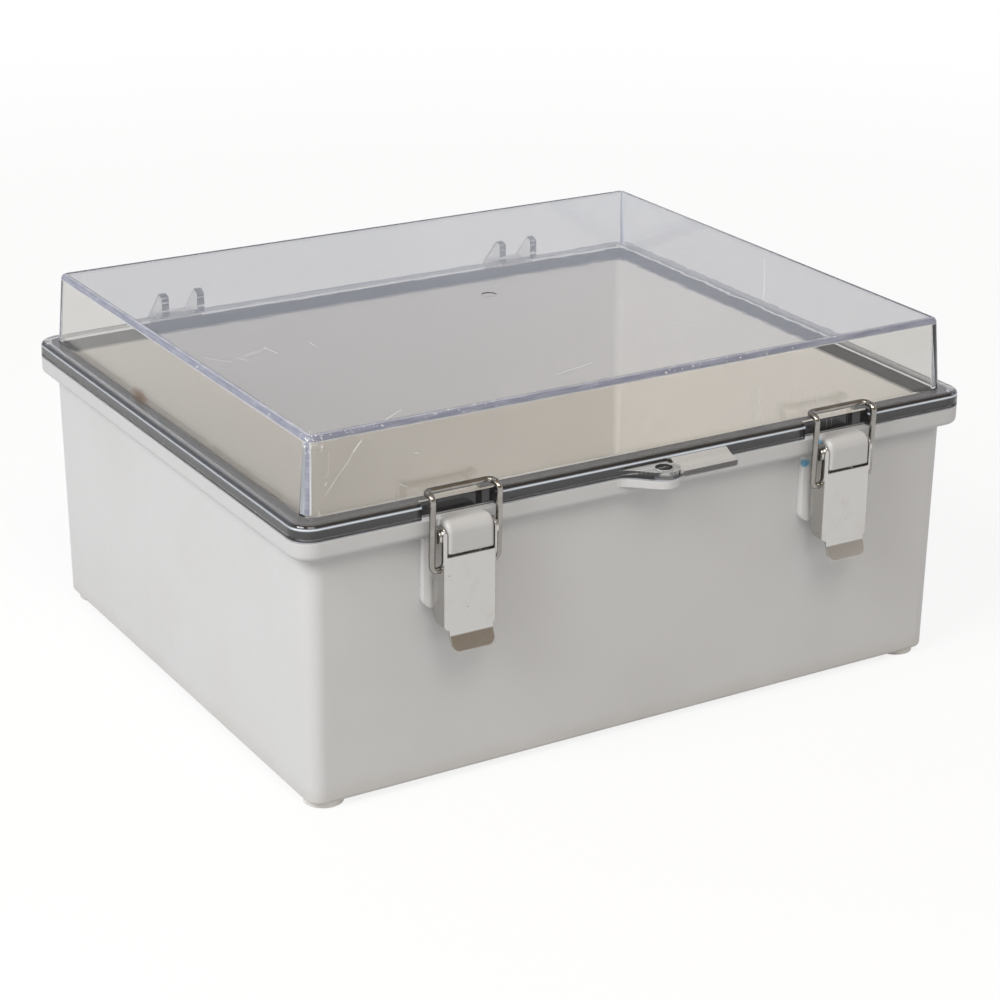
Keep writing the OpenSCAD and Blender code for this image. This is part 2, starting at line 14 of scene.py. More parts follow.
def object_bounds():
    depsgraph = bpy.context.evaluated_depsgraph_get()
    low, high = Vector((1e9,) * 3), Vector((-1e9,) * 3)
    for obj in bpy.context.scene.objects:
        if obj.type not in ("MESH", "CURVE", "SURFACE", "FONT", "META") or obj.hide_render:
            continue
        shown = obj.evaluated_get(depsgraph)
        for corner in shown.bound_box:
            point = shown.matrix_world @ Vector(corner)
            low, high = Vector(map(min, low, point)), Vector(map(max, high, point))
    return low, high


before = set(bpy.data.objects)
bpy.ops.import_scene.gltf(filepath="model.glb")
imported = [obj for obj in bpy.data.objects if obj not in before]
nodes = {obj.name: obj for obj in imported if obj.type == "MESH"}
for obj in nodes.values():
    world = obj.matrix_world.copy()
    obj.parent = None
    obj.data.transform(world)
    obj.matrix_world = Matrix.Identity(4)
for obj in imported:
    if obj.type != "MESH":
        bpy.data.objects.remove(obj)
cad_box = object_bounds()
print("CAD nodes:", len(nodes), "box in m:",
      [tuple(round(v, 4) for v in corner) for corner in cad_box])

# %% [markdown]
# ## Round forms that look round
# A CAD mesh is made of flat facets. The facets of a bend should shade as one curve, while a real
# edge stays crisp. We could set flags on the mesh itself, but the frame is not to be changed, so a
# small Geometry Nodes modifier does it: shade everything smooth, then mark edges that turn by
# more than a limit as sharp.

# %% A modifier that shades gentle bends smooth
SHARP_TURN = math.radians(32)


def round_shading():
    group = bpy.data.node_groups.new("round_shading", "GeometryNodeTree")
    for way in ("INPUT", "OUTPUT"):
        group.interface.new_socket("Geometry", in_out=way, socket_type="NodeSocketGeometry")
    start, end = group.nodes.new("NodeGroupInput"), group.nodes.new("NodeGroupOutput")
    faces, edges = (group.nodes.new("GeometryNodeSetShadeSmooth") for _ in range(2))
    edges.domain = "EDGE"
    edges.inputs["Shade Smooth"].default_value = False
    turn = group.nodes.new("GeometryNodeInputMeshEdgeAngle")
    steep = group.nodes.new("FunctionNodeCompare")
    steep.operation = "GREATER_THAN"
    steep.inputs[1].default_value = SHARP_TURN
    for a, b in ((start.outputs[0], faces.inputs["Geometry"]),
                 (faces.outputs[0], edges.inputs["Geometry"]),
                 (turn.outputs["Unsigned Angle"], steep.inputs[0]),
                 (steep.outputs[0], edges.inputs["Selection"]),
                 (edges.outputs[0], end.inputs[0])):
        group.links.new(a, b)
    return group


shading = round_shading()
for node in nodes.values():
    node.modifiers.new("round_shading", "NODES").node_group = shading
print("smooth shading on", len(nodes), "nodes; custom normals on",
      sum(node.data.has_custom_normals for node in nodes.values()))

# %% [markdown]
# ## Writing shaders as sums
# Node graphs get long when every addition is three lines of Python. So one small class wraps a
# socket and lets us write `1 - mask`, and each such expression adds its Math node. All other nodes
# come from one method that takes the node's type, its settings and what its sockets are fed with.

# %% A socket that can be added and multiplied
class Signal:
    def __init__(self, tree, socket):
        self.tree, self.socket = tree, socket

    def math(self, operation, a, b):
        return self.tree.node("ShaderNodeMath", {"operation": operation}, {0: a, 1: b})

    def __add__(self, other):
        return self.math("ADD", self, other)

    def __sub__(self, other):
        return self.math("SUBTRACT", self, other)

    def __rsub__(self, other):
        return self.math("SUBTRACT", other, self)

    def __mul__(self, other):
        return self.math("MULTIPLY", self, other)

    __radd__, __rmul__ = __add__, __mul__


reflected = [name for name in vars(Signal) if name.startswith("__r")]
print("reflected sums of a socket:", ", ".join(reflected))


# %% A node tree that grows node by node
class Tree:
    def __init__(self, name, tree=None):
        if tree is None:
            self.material = bpy.data.materials.new(name)
            self.material.use_nodes = True
            tree = self.material.node_tree
        self.tree = tree
        tree.nodes.clear()

    def node(self, kind, settings=None, inputs=None, output=0):
        made = self.tree.nodes.new(kind)
        for key, value in (settings or {}).items():
            setattr(made, key, value)
        for key, value in (inputs or {}).items():
            socket = made.inputs[key]
            if isinstance(value, Signal):
                self.tree.links.new(value.socket, socket)
            else:
                whole = socket.type == "RGBA" and len(value) == 3
                socket.default_value = (*value, 1.0) if whole else value
        return Signal(self, made.outputs[output]) if made.outputs else made

    def end(self, surface, kind="Material"):
        self.node("ShaderNodeOutput" + kind, None, {"Surface": surface})
        return self


print("nodes come from Tree.node, and Tree.end joins the last one to the output")

# %% [markdown]
# ## What all finishes share
# A finish is a tree with a few words of its own: where a point is, a noise, a soft step from one
# value to another, a noise cut into patches, a mix of two colours, a ragged spot, a bump and a
# softened edge. An image could hold such marks, but it would need an unwrapped mesh. Places are
# Object coordinates, which for every CAD node are the metres of the shared frame. So a mark can be
# put at a known place, and it stays there when the piece moves.

# %% The words of a finish
RAGGED_SCALE, RAGGED_REACH = 700.0, 0.9


class Finish(Tree):
    def place(self):
        return self.node("ShaderNodeTexCoord", output="Object")

    def facing(self):
        return self.node("ShaderNodeTexCoord", output="Normal")

    def axis(self, k, vector=None):
        """The x, y or z part of a vector, for k of 0, 1 or 2."""
        return self.node("ShaderNodeSeparateXYZ", None, {0: vector or self.place()}, output=k)

    def vector(self, operation, a, b, output=0):
        return self.node("ShaderNodeVectorMath", {"operation": operation}, {0: a, 1: b}, output)

    def length(self, a):
        return self.node("ShaderNodeVectorMath", {"operation": "LENGTH"}, {0: a}, "Value")

    def stretched(self, factors, turn=(0.0, 0.0, 0.0)):
        turned = self.node("ShaderNodeMapping", None, {"Vector": self.place(), "Rotation": turn})
        return self.node("ShaderNodeMapping", None, {"Vector": turned, "Scale": factors})

    def noise(self, scale, detail=3.0, rough=0.55, where=None, output=0):
        return self.node("ShaderNodeTexNoise", None, {
            "Vector": where or self.place(), "Scale": scale,
            "Detail": detail, "Roughness": rough}, output)

    def fade(self, value, start, end, low=0.0, high=1.0):
        return self.node("ShaderNodeMapRange", {"interpolation_type": "SMOOTHSTEP"},
                         {0: value, 1: start, 2: end, 3: low, 4: high})

    def patches(self, scale, detail, start, end, low=0.0, high=1.0):
        """A noise that is low where it is under start and high where it is over end."""
        return self.fade(self.noise(scale, detail), start, end, low, high)

    def cut(self, value, low, high, soft=0.0001):
        """1 between low and high, and 0 outside."""
        return (self.fade(value, low - soft, low + soft)
                * self.fade(value, high - soft, high + soft, 1.0, 0.0))

    def mix(self, share, a, b):
        return self.node("ShaderNodeMix", {"data_type": "RGBA"}, {0: share, 6: a, 7: b}, output=2)

    def spot(self, centre, reach, edge=0.35):
        """1 inside an ellipsoid round centre, with its half sizes in reach, and 0 well outside."""
        away = self.vector("DIVIDE", self.vector("SUBTRACT", self.place(), centre), reach)
        ragged = self.length(away) + (self.noise(RAGGED_SCALE, 3.0) - 0.5) * RAGGED_REACH
        return self.fade(ragged, 1.0 - edge, 1.0 + edge, 1.0, 0.0)

    def bump(self, height, distance, strength=1.0, normal=None):
        inputs = {"Height": height, "Distance": distance, "Strength": strength}
        if normal:
            inputs["Normal"] = normal
        return self.node("ShaderNodeBump", None, inputs)

    def soft_edge(self, radius):
        return self.node("ShaderNodeBevel", {"samples": 4}, {"Radius": radius})

    def body(self, **inputs):
        return self.node("ShaderNodeBsdfPrincipled", None,
                         {key.replace("_", " "): value for key, value in inputs.items()})

    def mix_shader(self, share, a, b):
        return self.node("ShaderNodeMixShader", None, {0: share, 1: a, 2: b})


print("words of a finish:", ", ".join(name for name in vars(Finish) if not name.startswith("_")))

# %% Putting a finish on pieces
SIDES = ("left", "right")


def pair(stem):
    return [f"{stem}_{side}" for side in SIDES]


def dress(finish, *names):
    for name in names:
        node = nodes[name]
        node.data.materials.clear()
        node.data.materials.append(finish.material)
    print(finish.material.name, "on", ", ".join(names))


print("a pair is, for example,", pair("latch_lever"))

# %% [markdown]
# ## Moulded grey plastic
# The base is injection moulded in light grey plastic with a fine spark-eroded grain. Close up the
# grain breaks the gloss, and from far away only a satin sheen and a faint cloudiness are left. An
# image could show that, but it would blur close up. So noises do it: two fine ones in the bump, a
# slower one in the roughness and a very slow one in the colour. Dust lies near the lower edge.

# %% A moulded finish
DUST = (0.42, 0.38, 0.33)
DUST_FADE, DUST_SHARE = (0.004, 0.016), 0.35
DUST_NOISE, DUST_RAGGED = (60.0, 4.0), 0.008
CLOUDS, CLOUD_SHARE = (14.0, 4.0, 0.35, 0.75), 0.8
SPECKS = (900.0, 2.0, 0.70, 0.80)
FINE_GRAIN, COARSE_GRAIN, FINE_SHARE = 2600.0, 700.0, 0.7
SHEEN_SCALE, SHEEN_SPREAD = 220.0, 0.14
PLASTIC_IOR = 1.5


def moulded(name, colour, cloud, gloss, grain=0.00006, edge=0.0005, marks=0.10,
            paint=None, stain=None):
    """paint adds a piece's painted light and shade before the specks and dust, stain its stains
    after.
    """
    f = Finish(name)
    height = f.noise(FINE_GRAIN, 2.0) * FINE_SHARE + f.noise(COARSE_GRAIN, 2.0) * (1 - FINE_SHARE)
    ragged = f.axis(2) + f.noise(*DUST_NOISE) * DUST_RAGGED
    low = f.fade(ragged, *DUST_FADE, DUST_SHARE, 0.0)
    tint = f.mix(f.patches(*CLOUDS) * CLOUD_SHARE, colour, cloud)
    tint = paint(f, tint) if paint else tint
    tint = f.mix(f.patches(*SPECKS) * marks, tint, DUST)
    tint = f.mix(low, tint, DUST)
    tint = stain(f, tint) if stain else tint
    rough = f.noise(SHEEN_SCALE, 3.0) * SHEEN_SPREAD + (gloss - SHEEN_SPREAD / 2)
    normal = f.bump(height, grain, strength=0.6, normal=f.soft_edge(edge))
    return f.end(f.body(Base_Color=tint, Roughness=rough, Normal=normal, IOR=PLASTIC_IOR))


print("grain of about", round(1000 / FINE_GRAIN, 1), "and", round(1000 / COARSE_GRAIN, 1), "mm")

# %% [markdown]
# ## Base and feet
# In the photograph the inside of the box looks warmer than the outside, and the rim, which lies in
# the shade of the flange, a little darker. One could split the base into pieces for that. It is
# less work to ask each point which way its wall faces: if its normal points to the middle of the
# box, it belongs to the inside. The feet are separate pads of a paler plastic.
# Both are painted into the colour: a warm painted bounce light inside and a painted shade on the
# rim.

# %% Base and feet
GREY, GREY_CLOUD = (0.580, 0.590, 0.600), (0.551, 0.558, 0.564)
# Painted light and shade: a warm painted bounce light inside and a painted shade on the rim.
INSIDE_BOUNCE_WARM = (0.612, 0.585, 0.545)
INWARD = (-0.05, -0.09)
RIM_SHADE_GREY = (0.525, 0.536, 0.545)
RIM_START, RIM_END = (0.1035, 0.1040), (0.1108, 0.1112)
FOOT_PALE = (0.950, 0.950, 0.945)
BASE_GLOSS, FOOT_GLOSS = 0.42, 0.45


def facing_in(f):
    """1 on walls that face the middle of the box, and 0 on those that face away from it."""
    normal = f.vector("MULTIPLY", f.facing(), (1.0, 1.0, 0.0))
    return f.fade(f.vector("DOT_PRODUCT", normal, f.place(), "Value"), *INWARD)


# Paints a warm bounce light on walls that face in, and a shade on the rim.
def painted_rim_shade_and_inside_bounce(f, tint):
    z = f.axis(2)
    rim = f.fade(z, *RIM_START) * f.fade(z, *RIM_END, 1.0, 0.0)
    return f.mix(facing_in(f), f.mix(rim, tint, RIM_SHADE_GREY), INSIDE_BOUNCE_WARM)


dress(moulded("base_plastic", GREY, GREY_CLOUD, BASE_GLOSS, paint=painted_rim_shade_and_inside_bounce), "base_shell")
dress(moulded("foot_plastic", FOOT_PALE, GREY, FOOT_GLOSS),
      *(f"foot_{end}_{side}" for end in ("front", "rear") for side in SIDES))

# %% [markdown]
# ## Latch mouldings
# The plate and the hood of each latch are the same plastic but smoother, so they show soft
# highlights along their round edges. The plate behind the lever is painted paler than the hood, as
# painted light that lifts the shade the lever casts on it. The right one has caught a little blue
# marker ink. Both could be painted on an unwrapped image. Here the depth of a point tells plate
# from hood, and the ink is two ragged spots.

# %% Latch bases
LATCH_GREY, LATCH_CLOUD = (0.512, 0.522, 0.527), (0.484, 0.490, 0.491)
LATCH_GLOSS, LATCH_GRAIN, LATCH_EDGE, LATCH_MARKS = 0.30, 0.00003, 0.0006, 0.45
# Painted light: the plate behind the lever is made paler than the hood.
PLATE_PAINTED_LIGHT = (0.670, 0.680, 0.685)
PLATE_START = (-0.1246, -0.1242)
INK, INK_SHARE = (0.045, 0.300, 0.480), 0.85
INK_SPOTS = (((0.0770, -0.1275, 0.1090), (0.0020, 0.0024, 0.0022)),
             ((0.0732, -0.1239, 0.1003), (0.0026, 0.0020, 0.0016)))


# Paints light on the plate, where the lever shades it.
def painted_plate_light(f, tint):
    return f.mix(f.fade(f.axis(1), *PLATE_START), tint, PLATE_PAINTED_LIGHT)


def inked(f, tint):
    for centre, reach in INK_SPOTS:
        tint = f.mix(f.spot(centre, reach) * INK_SHARE, tint, INK)
    return tint


latch_look = (LATCH_GREY, LATCH_CLOUD, LATCH_GLOSS, LATCH_GRAIN, LATCH_EDGE, LATCH_MARKS,
              painted_plate_light)
dress(moulded("latch_plastic", *latch_look), "latch_base_left")
dress(moulded("latch_plastic_inked", *latch_look, inked), "latch_base_right")

# %% [markdown]
# ## Clear polycarbonate
# The cover is solid clear plastic with a faint grey cast. A Principled shader with full
# transmission bends light as the real wall does, and a slow bump gives the wavy look of a moulded
# plate. What else is seen on it depends on the place: rounded edges, the flange, the groove of the
# seal. So we first need signals that say where a point is. One measures how far it lies in from
# the outline of the flange, another how far round an upright corner it lies.

# %% Where the edges and the groove of the cover are
COVER_TOP = cad_box[1][2]
TOP_EDGE = 0.0024
WALL_TOP = COVER_TOP - TOP_EDGE
FLANGE_HALF = (0.1525, 0.1265)
FLANGE_CORNER = 0.0087
FLANGE_UNDER, FLANGE_TOP = 0.1116, 0.1185
WALL_FOOT_IN, WALL_LEAN = 0.0066, 0.0024
WALL_CORNER = (0.1401, 0.1141, 0.0)
NOWHERE = (0.0, 0.0, 0.0)


def folded(f):
    """The place with all signs positive, so that four corners become one."""
    return f.node("ShaderNodeVectorMath", {"operation": "ABSOLUTE"}, {0: f.place()})


def distance_in(f):
    corner = [half - FLANGE_CORNER for half in FLANGE_HALF] + [0.0]
    beyond = f.vector("MULTIPLY", f.vector("SUBTRACT", folded(f), corner), (1.0, 1.0, 0.0))
    return FLANGE_CORNER - f.length(f.vector("MAXIMUM", beyond, NOWHERE))


def wall_corner(f):
    """How far a point lies out from the middle of its upright corner, and at which angle to x."""
    beyond = f.vector("MULTIPLY", f.vector("SUBTRACT", folded(f), WALL_CORNER), (1.0, 1.0, 0.0))
    bx, by = f.axis(0, beyond), f.axis(1, beyond)
    return f.length(f.vector("MAXIMUM", beyond, NOWHERE)), bx.math("ARCTAN2", by, bx)


print("the cover's wall runs from z", FLANGE_TOP, "to", round(WALL_TOP, 4), "m")

# %% [markdown]
# ## Scratches
# Handling has left scratches on the cover. A few long ones are listed, each as the distance to a
# line on the top or on the leaning front wall, and a slow noise bends them a little. Two stretched
# noises, cut high and kept to patches, add the fine ones. Drawn curves would work too, but they
# would be pieces of their own.

# %% One long scratch
SCRATCH_HALF_WIDTH = 0.00019
SCRATCH_EDGE = (0.4 * SCRATCH_HALF_WIDTH, 1.6 * SCRATCH_HALF_WIDTH)


def long_scratch(f, start, end, where):
    """1 along the straight line from start to end, and 0 beside it."""
    run = Vector(end) - Vector(start)
    along = f.vector("DOT_PRODUCT", f.vector("SUBTRACT", where, start), run, "Value")
    share = f.node("ShaderNodeMapRange", None, {0: along, 1: 0.0, 2: run.length_squared})
    nearest = f.node("ShaderNodeMix", {"data_type": "VECTOR"},
                     {0: share, 4: start, 5: end}, output=1)
    gap = f.vector("DISTANCE", where, nearest, "Value")
    return f.fade(gap, *SCRATCH_EDGE, 1.0, 0.0)


def on_front(x, z):
    """The point of the leaning front wall at x and z."""
    share = (z - FLANGE_TOP) / (WALL_TOP - FLANGE_TOP)
    return x, WALL_FOOT_IN + WALL_LEAN * share - FLANGE_HALF[1], z


print("a scratch is", round(2000 * SCRATCH_HALF_WIDTH, 2), "mm wide")

# %% All scratches
FRONT_SCRATCHES = (
    (-0.1222, 0.1435, -0.1255, 0.1401, 1.0), (-0.1255, 0.1401, -0.1376, 0.1259, 0.45),
    (-0.1354, 0.1414, -0.1363, 0.1332, 0.3), (-0.1374, 0.1332, -0.1366, 0.1331, 1.0),
    (-0.1367, 0.1308, -0.1376, 0.1295, 1.0), (-0.1317, 0.1354, -0.1316, 0.1352, 1.0),
    (-0.1079, 0.1250, -0.1041, 0.1230, 0.6), (-0.1010, 0.1352, -0.0989, 0.1348, 0.6),
    (-0.1094, 0.1213, -0.1097, 0.1189, 0.5))
TOP_SCRATCHES = (
    (-0.1003, -0.1080, -0.1114, -0.1149), (-0.0311, -0.1021, -0.0096, -0.0965),
    (0.1330, -0.0120, 0.0951, -0.0628), (0.0442, -0.0686, 0.0500, -0.0780),
    (-0.1119, -0.0174, -0.1108, -0.0270), (-0.0938, -0.0204, -0.0940, -0.0268),
    (-0.1382, -0.0181, -0.1309, -0.0278), (-0.1265, -0.0247, -0.1245, -0.0293))
TOP_WEIGHT = 0.7
FRONT_WOBBLE, TOP_WOBBLE = (0.0015, 0.0, 0.0015), (0.003, 0.003, 0.0)
WOBBLE_NOISE = (60.0, 2.0, 0.5)
FINE_STEEP, FINE_FLAT = (0.75, 0.05, 0.0006), (-0.35, 0.07, 0.0007)
FINE_NOISE, FINE_STEP = (1.0, 1.0, 0.4), (0.77, 0.81)
HANDLED_NOISE, HANDLED_STEP = (9.0, 2.0, 0.5), (0.52, 0.66)


def fine_scratches(f, angle, length, finest):
    scale = (1.0 / length, 1.0 / finest, 20.0)
    lines = f.noise(*FINE_NOISE, f.stretched(scale, (0.0, 0.0, angle)))
    return f.fade(lines, *FINE_STEP) * f.fade(f.noise(*HANDLED_NOISE), *HANDLED_STEP)


def scratches(f):
    wobble = f.vector("SUBTRACT", f.noise(*WOBBLE_NOISE, output="Color"), (0.5, 0.5, 0.5))
    upright, level = (f.vector("ADD", f.place(), f.vector("MULTIPLY", wobble, size))
                      for size in (FRONT_WOBBLE, TOP_WOBBLE))
    marks = fine_scratches(f, *FINE_STEEP) + fine_scratches(f, *FINE_FLAT)
    for x0, z0, x1, z1, weight in FRONT_SCRATCHES:
        marks = marks + weight * long_scratch(f, on_front(x0, z0), on_front(x1, z1), upright)
    for x0, y0, x1, y1 in TOP_SCRATCHES:
        ends = (x0, y0, COVER_TOP), (x1, y1, COVER_TOP)
        marks = marks + TOP_WEIGHT * long_scratch(f, *ends, level)
    return marks


print("placed scratches:", len(FRONT_SCRATCHES), "in front and", len(TOP_SCRATCHES), "on top")

# %% [markdown]
# ## Light inside the plastic
# Where we look into a rounded edge, light has run sideways through the plastic and comes out as a
# milky blue-grey band. A path tracer gives up after a few bounces inside a plate, so we paint these
# bands with satin shaders. The foam of the seal is poured into its groove and wets the plastic.
# There is no air gap that could mirror light, so the walls of the groove are black from inside.

# %% The shaders of the cover
CLEAR, CLEAR_IOR, CLEAR_GLOSS = (0.795, 0.787, 0.770), 1.585, 0.008
HAZE_PATCHES, HAZE = (30.0, 4.0, 0.45, 0.8), 0.02
WAVE, WAVE_SHARE, WAVE_DEPTH = (25.0, 2.0), 0.25, 0.0004
RIGHT_WAVE, RIGHT_WAVE_START = (45.0, 2.0), (0.02, 0.12)
EDGE_BLUE, EDGE_LIGHT = (0.215, 0.230, 0.300), (0.285, 0.303, 0.375)
PIPED_LIGHT = (0.700, 0.770, 0.860)
# White of scratches, also used for the painted highlight lines along the edges.
SCRATCH_AND_HIGHLIGHT_WHITE = (0.86, 0.88, 0.90)
# Black of the seal, also used for the painted shade on the flange.
SEAL_AND_SHADE_BLACK = (0.035, 0.035, 0.038)
# Lit and shaded copies of the frosted look: painted light and painted shade.
FROST_LIT, FROST_LIT_FLECKS = (0.420, 0.420, 0.413), (0.600, 0.600, 0.590)
FROST_SHADED, FROST_SHADED_FLECKS = (0.050, 0.050, 0.053), (0.150, 0.150, 0.154)
FROST_NOISE = (1200.0, 3.0)
STREAK_NOISE, STREAK_STRETCH, STREAK_STEP = (1.0, 2.0, 0.5), (90.0, 90.0, 900.0), (0.35, 0.7)
SMUDGE = (0.16, 0.10, 0.06)


def clear_body(f):
    haze = f.patches(*HAZE_PATCHES) * HAZE
    right_share = f.fade(f.axis(0), *RIGHT_WAVE_START, 0.0, WAVE_SHARE)
    wave = f.noise(*WAVE) * WAVE_SHARE + f.noise(*RIGHT_WAVE) * right_share
    return f.body(Base_Color=CLEAR, Roughness=haze + CLEAR_GLOSS, IOR=CLEAR_IOR,
                  Transmission_Weight=1.0, Normal=f.bump(wave, WAVE_DEPTH, strength=0.4))


def painted_looks(f):
    streaks = f.fade(f.noise(*STREAK_NOISE, f.stretched(STREAK_STRETCH)), *STREAK_STEP)
    grains = f.noise(*FROST_NOISE)
    return {"milky": f.body(Base_Color=f.mix(streaks, EDGE_BLUE, EDGE_LIGHT), Roughness=0.25),
            "piped": f.body(Base_Color=PIPED_LIGHT, Roughness=0.2),
            # Scratch white, also used for painted highlight lines.
            "chalk": f.body(Base_Color=SCRATCH_AND_HIGHLIGHT_WHITE, Roughness=0.6),
            "black": f.body(Base_Color=SEAL_AND_SHADE_BLACK, Roughness=0.9, Specular_IOR_Level=0.0),
            # A lit and a shaded copy of the frosted look: painted light and painted shade.
            "frost": f.body(Base_Color=f.mix(grains, FROST_LIT, FROST_LIT_FLECKS), Roughness=0.5),
            "frost_side": f.body(Base_Color=f.mix(grains, FROST_SHADED, FROST_SHADED_FLECKS),
                                 Roughness=0.4),
            "dirt": f.body(Base_Color=SMUDGE, Roughness=0.8)}


print("clear plastic of index", CLEAR_IOR)

# %% [markdown]
# The bands come as rows of three: where, how much, and which look. Along the top edge runs a milky
# band of painted piped light, with a line above it that is partly worn and partly painted
# highlight, a painted highlight line below it, and a few nicks. Round each upright corner follow a
# pale strip and a blue one, both painted piped light, and a thin painted highlight line, told apart
# by the angle.

# %% Bands along the edges of the cover
TOP_FACE = (COVER_TOP - 0.00003, COVER_TOP - 0.00001)
OFF_THE_PLATE = (0.0002, 0.0006)
TOP_LINE = (COVER_TOP - 0.0004, COVER_TOP - 0.0002)
EDGE_START = (WALL_TOP - 0.0001, WALL_TOP + 0.0001)
LOW_LINE = (WALL_TOP - 0.0002, WALL_TOP + 0.0002, 0.00004)
ON_WALL = (FLANGE_TOP + 0.0006, WALL_TOP)
WORN_AND_HIGHLIGHT_LINE = (120.0, 4.0, 0.35, 0.75, 0.5, 1.0)
NICKS, KNOCKED = (800.0, 3.0, 0.63, 0.70), (40.0, 2.0, 0.45, 0.6)
PALE_TURN, BLUE_TURN, LINE_TURN = (0.08, 0.50, 0.06), (0.48, 0.88, 0.05), (0.88, 0.97, 0.04)


def edge_bands(f):
    z = f.axis(2)
    out, turned = wall_corner(f)
    below_top = f.fade(z, *TOP_FACE, 1.0, 0.0) * f.fade(out, *OFF_THE_PLATE)
    top_edge = f.fade(z, *EDGE_START) * below_top
    top_line = f.fade(z, *TOP_LINE) * below_top * f.patches(*WORN_AND_HIGHLIGHT_LINE)
    low_line = f.cut(z, *LOW_LINE)
    nicks = f.patches(*NICKS) * f.patches(*KNOCKED) * top_edge
    on_wall = f.cut(z, *ON_WALL)
    turns = (PALE_TURN, BLUE_TURN, LINE_TURN)
    pale, blue, line = (f.cut(turned, *turn) * on_wall for turn in turns)
    # Painted light: the band and the corner strips are piped light, the low and corner lines
    # highlights.
    return [(top_edge, 0.9, "milky"), (low_line, 0.35, "chalk"), (top_line, 0.3, "chalk"),
            (nicks, 0.6, "chalk"), (pale, 0.4, "piped"), (blue, 0.85, "milky"),
            (line, 0.6, "chalk")]


print("the top edge is rounded over", round(1000 * TOP_EDGE, 1), "mm")

# %% [markdown]
# The round edge of the flange carries a painted line of light, brighter in front, with a band of
# painted shade and a thin painted light line below it. The groove is black, and the level ledge,
# where it faces up, takes a little of the lit frosted look as painted light.

# %% Bands along the flange
ROUND_EDGE = (0.0012, 0.0016)
GLOW_BAND = (FLANGE_TOP - 0.0022, FLANGE_TOP - 0.0015, 0.0003)
SHADE_BAND = (FLANGE_UNDER + 0.0005, FLANGE_UNDER + 0.0017, 0.0002)
SILL_BAND = (FLANGE_UNDER + 0.0001, FLANGE_UNDER + 0.0004, 0.0001)
FRONT_GLOW, SIDE_GLOW, GLOW_CHANGE = 0.85, 0.5, (-0.1230, -0.1180)
GROOVE_WIDTH, GROOVE_HEIGHT = (0.0044, 0.0080), (FLANGE_UNDER + 0.0004, 0.1168)
LEDGE, UPWARD = (FLANGE_TOP - 0.0004, FLANGE_TOP + 0.0004), (0.2, 0.7)


def facing_up(f):
    return f.fade(f.axis(2, f.facing()), *UPWARD)


def flange_bands(f):
    z, inset = f.axis(2), distance_in(f)
    round_edge = f.fade(inset, *ROUND_EDGE, 1.0, 0.0)
    bands = (GLOW_BAND, SHADE_BAND, SILL_BAND)
    glow, shade, sill = (f.cut(z, *band) * round_edge for band in bands)
    brightness = f.fade(f.axis(1), *GLOW_CHANGE, FRONT_GLOW, SIDE_GLOW)
    groove = f.cut(inset, *GROOVE_WIDTH) * f.cut(z, *GROOVE_HEIGHT)
    ledge = f.cut(z, *LEDGE) * facing_up(f)
    # Painted shade below the round edge; painted light in the sill, the glow and on the ledge.
    return [(shade, 0.6, "black"), (sill, 0.5, "piped"), (glow, brightness, "piped"),
            (groove, 1.0, "black"), (ledge, 0.18, "frost")]


print("the groove is", round(1000 * (GROOVE_WIDTH[1] - GROOVE_WIDTH[0]), 1), "mm wide")

# %% [markdown]
# The finger bar beside the padlock lug has a frosted grip, painted paler on top than in front: a
# lit copy of the frosted look with painted light on top and a shaded copy with painted shade in
# front.
# Scratches, a chipped corner and a brown smudge at the foot of the left wall come last, over all
# the rest.

# %% Painted light and shade on the frosted grip, then scratches, chips and a smudge
FINGER_FACE, FINGER_START = (-0.1270, -0.1268), (0.0055, 0.0065)
CHIPPED_CORNER, CHIP_REACH = (-0.1415, -0.1160, 0.1465), (0.004, 0.004, 0.004)
SMUDGE_PLACE, SMUDGE_REACH = (-0.1445, 0.029, 0.1195), (0.002, 0.006, 0.0025)
LOOSE_EDGE, FLAKES = 0.8, (1100.0, 2.0, 0.58, 0.64)


def painted_frost_and_wear(f):
    up = facing_up(f)
    bar = f.fade(f.axis(1), *FINGER_FACE, 1.0, 0.0) * f.fade(f.axis(0), *FINGER_START)
    chips = f.spot(CHIPPED_CORNER, CHIP_REACH, LOOSE_EDGE) * f.patches(*FLAKES)
    smudge = f.spot(SMUDGE_PLACE, SMUDGE_REACH, LOOSE_EDGE)
    # Painted light on top of the finger bar and painted shade in front of it.
    return [(bar * up, 0.85, "frost"), (bar * (1 - up), 0.8, "frost_side"),
            (scratches(f), 0.75, "chalk"), (chips, 1.0, "chalk"), (smudge, 0.7, "dirt")]


print("frost starts at x", FINGER_START[0], "m")

# %% [markdown]
# Now the rows are laid over the clear plastic one by one, each with a Mix Shader. Glass in a path
# tracer stops lamp light from reaching what it covers, so for shadow rays a Transparent shader
# takes over.

# %% Cover
LAMP_SHARE = (0.95, 0.95, 0.95)


def clear_plastic():
    f = Finish("clear_plastic")
    surface, looks = clear_body(f), painted_looks(f)
    for where, share, look in edge_bands(f) + flange_bands(f) + painted_frost_and_wear(f):
        surface = f.mix_shader(where * share, surface, looks[look])
    open_to_lamps = f.node("ShaderNodeBsdfTransparent", None, {"Color": LAMP_SHARE})
    shadow = f.node("ShaderNodeLightPath", output="Is Shadow Ray")
    return f.end(f.mix_shader(shadow, surface, open_to_lamps))


dress(clear_plastic(), "clear_cover")

# %% [markdown]
# ## Foam seal
# The seal is a dark strip of closed-cell foam in the cover's groove. With the cover shut it is only
# seen through the clear flange, where it gives the dark band round the box. One noise makes its
# cells, in the colour, the roughness and the bump alike.

# %% Seal
SEAL, SEAL_CELL = (0.018, 0.018, 0.020), (0.035, 0.034, 0.036)
CELL_NOISE, CELL_DEPTH = (1500.0, 3.0), 0.0002
CELL_STEP, CELL_SHEEN = (0.4, 0.7), (0.3, 0.7, 0.75, 0.92)


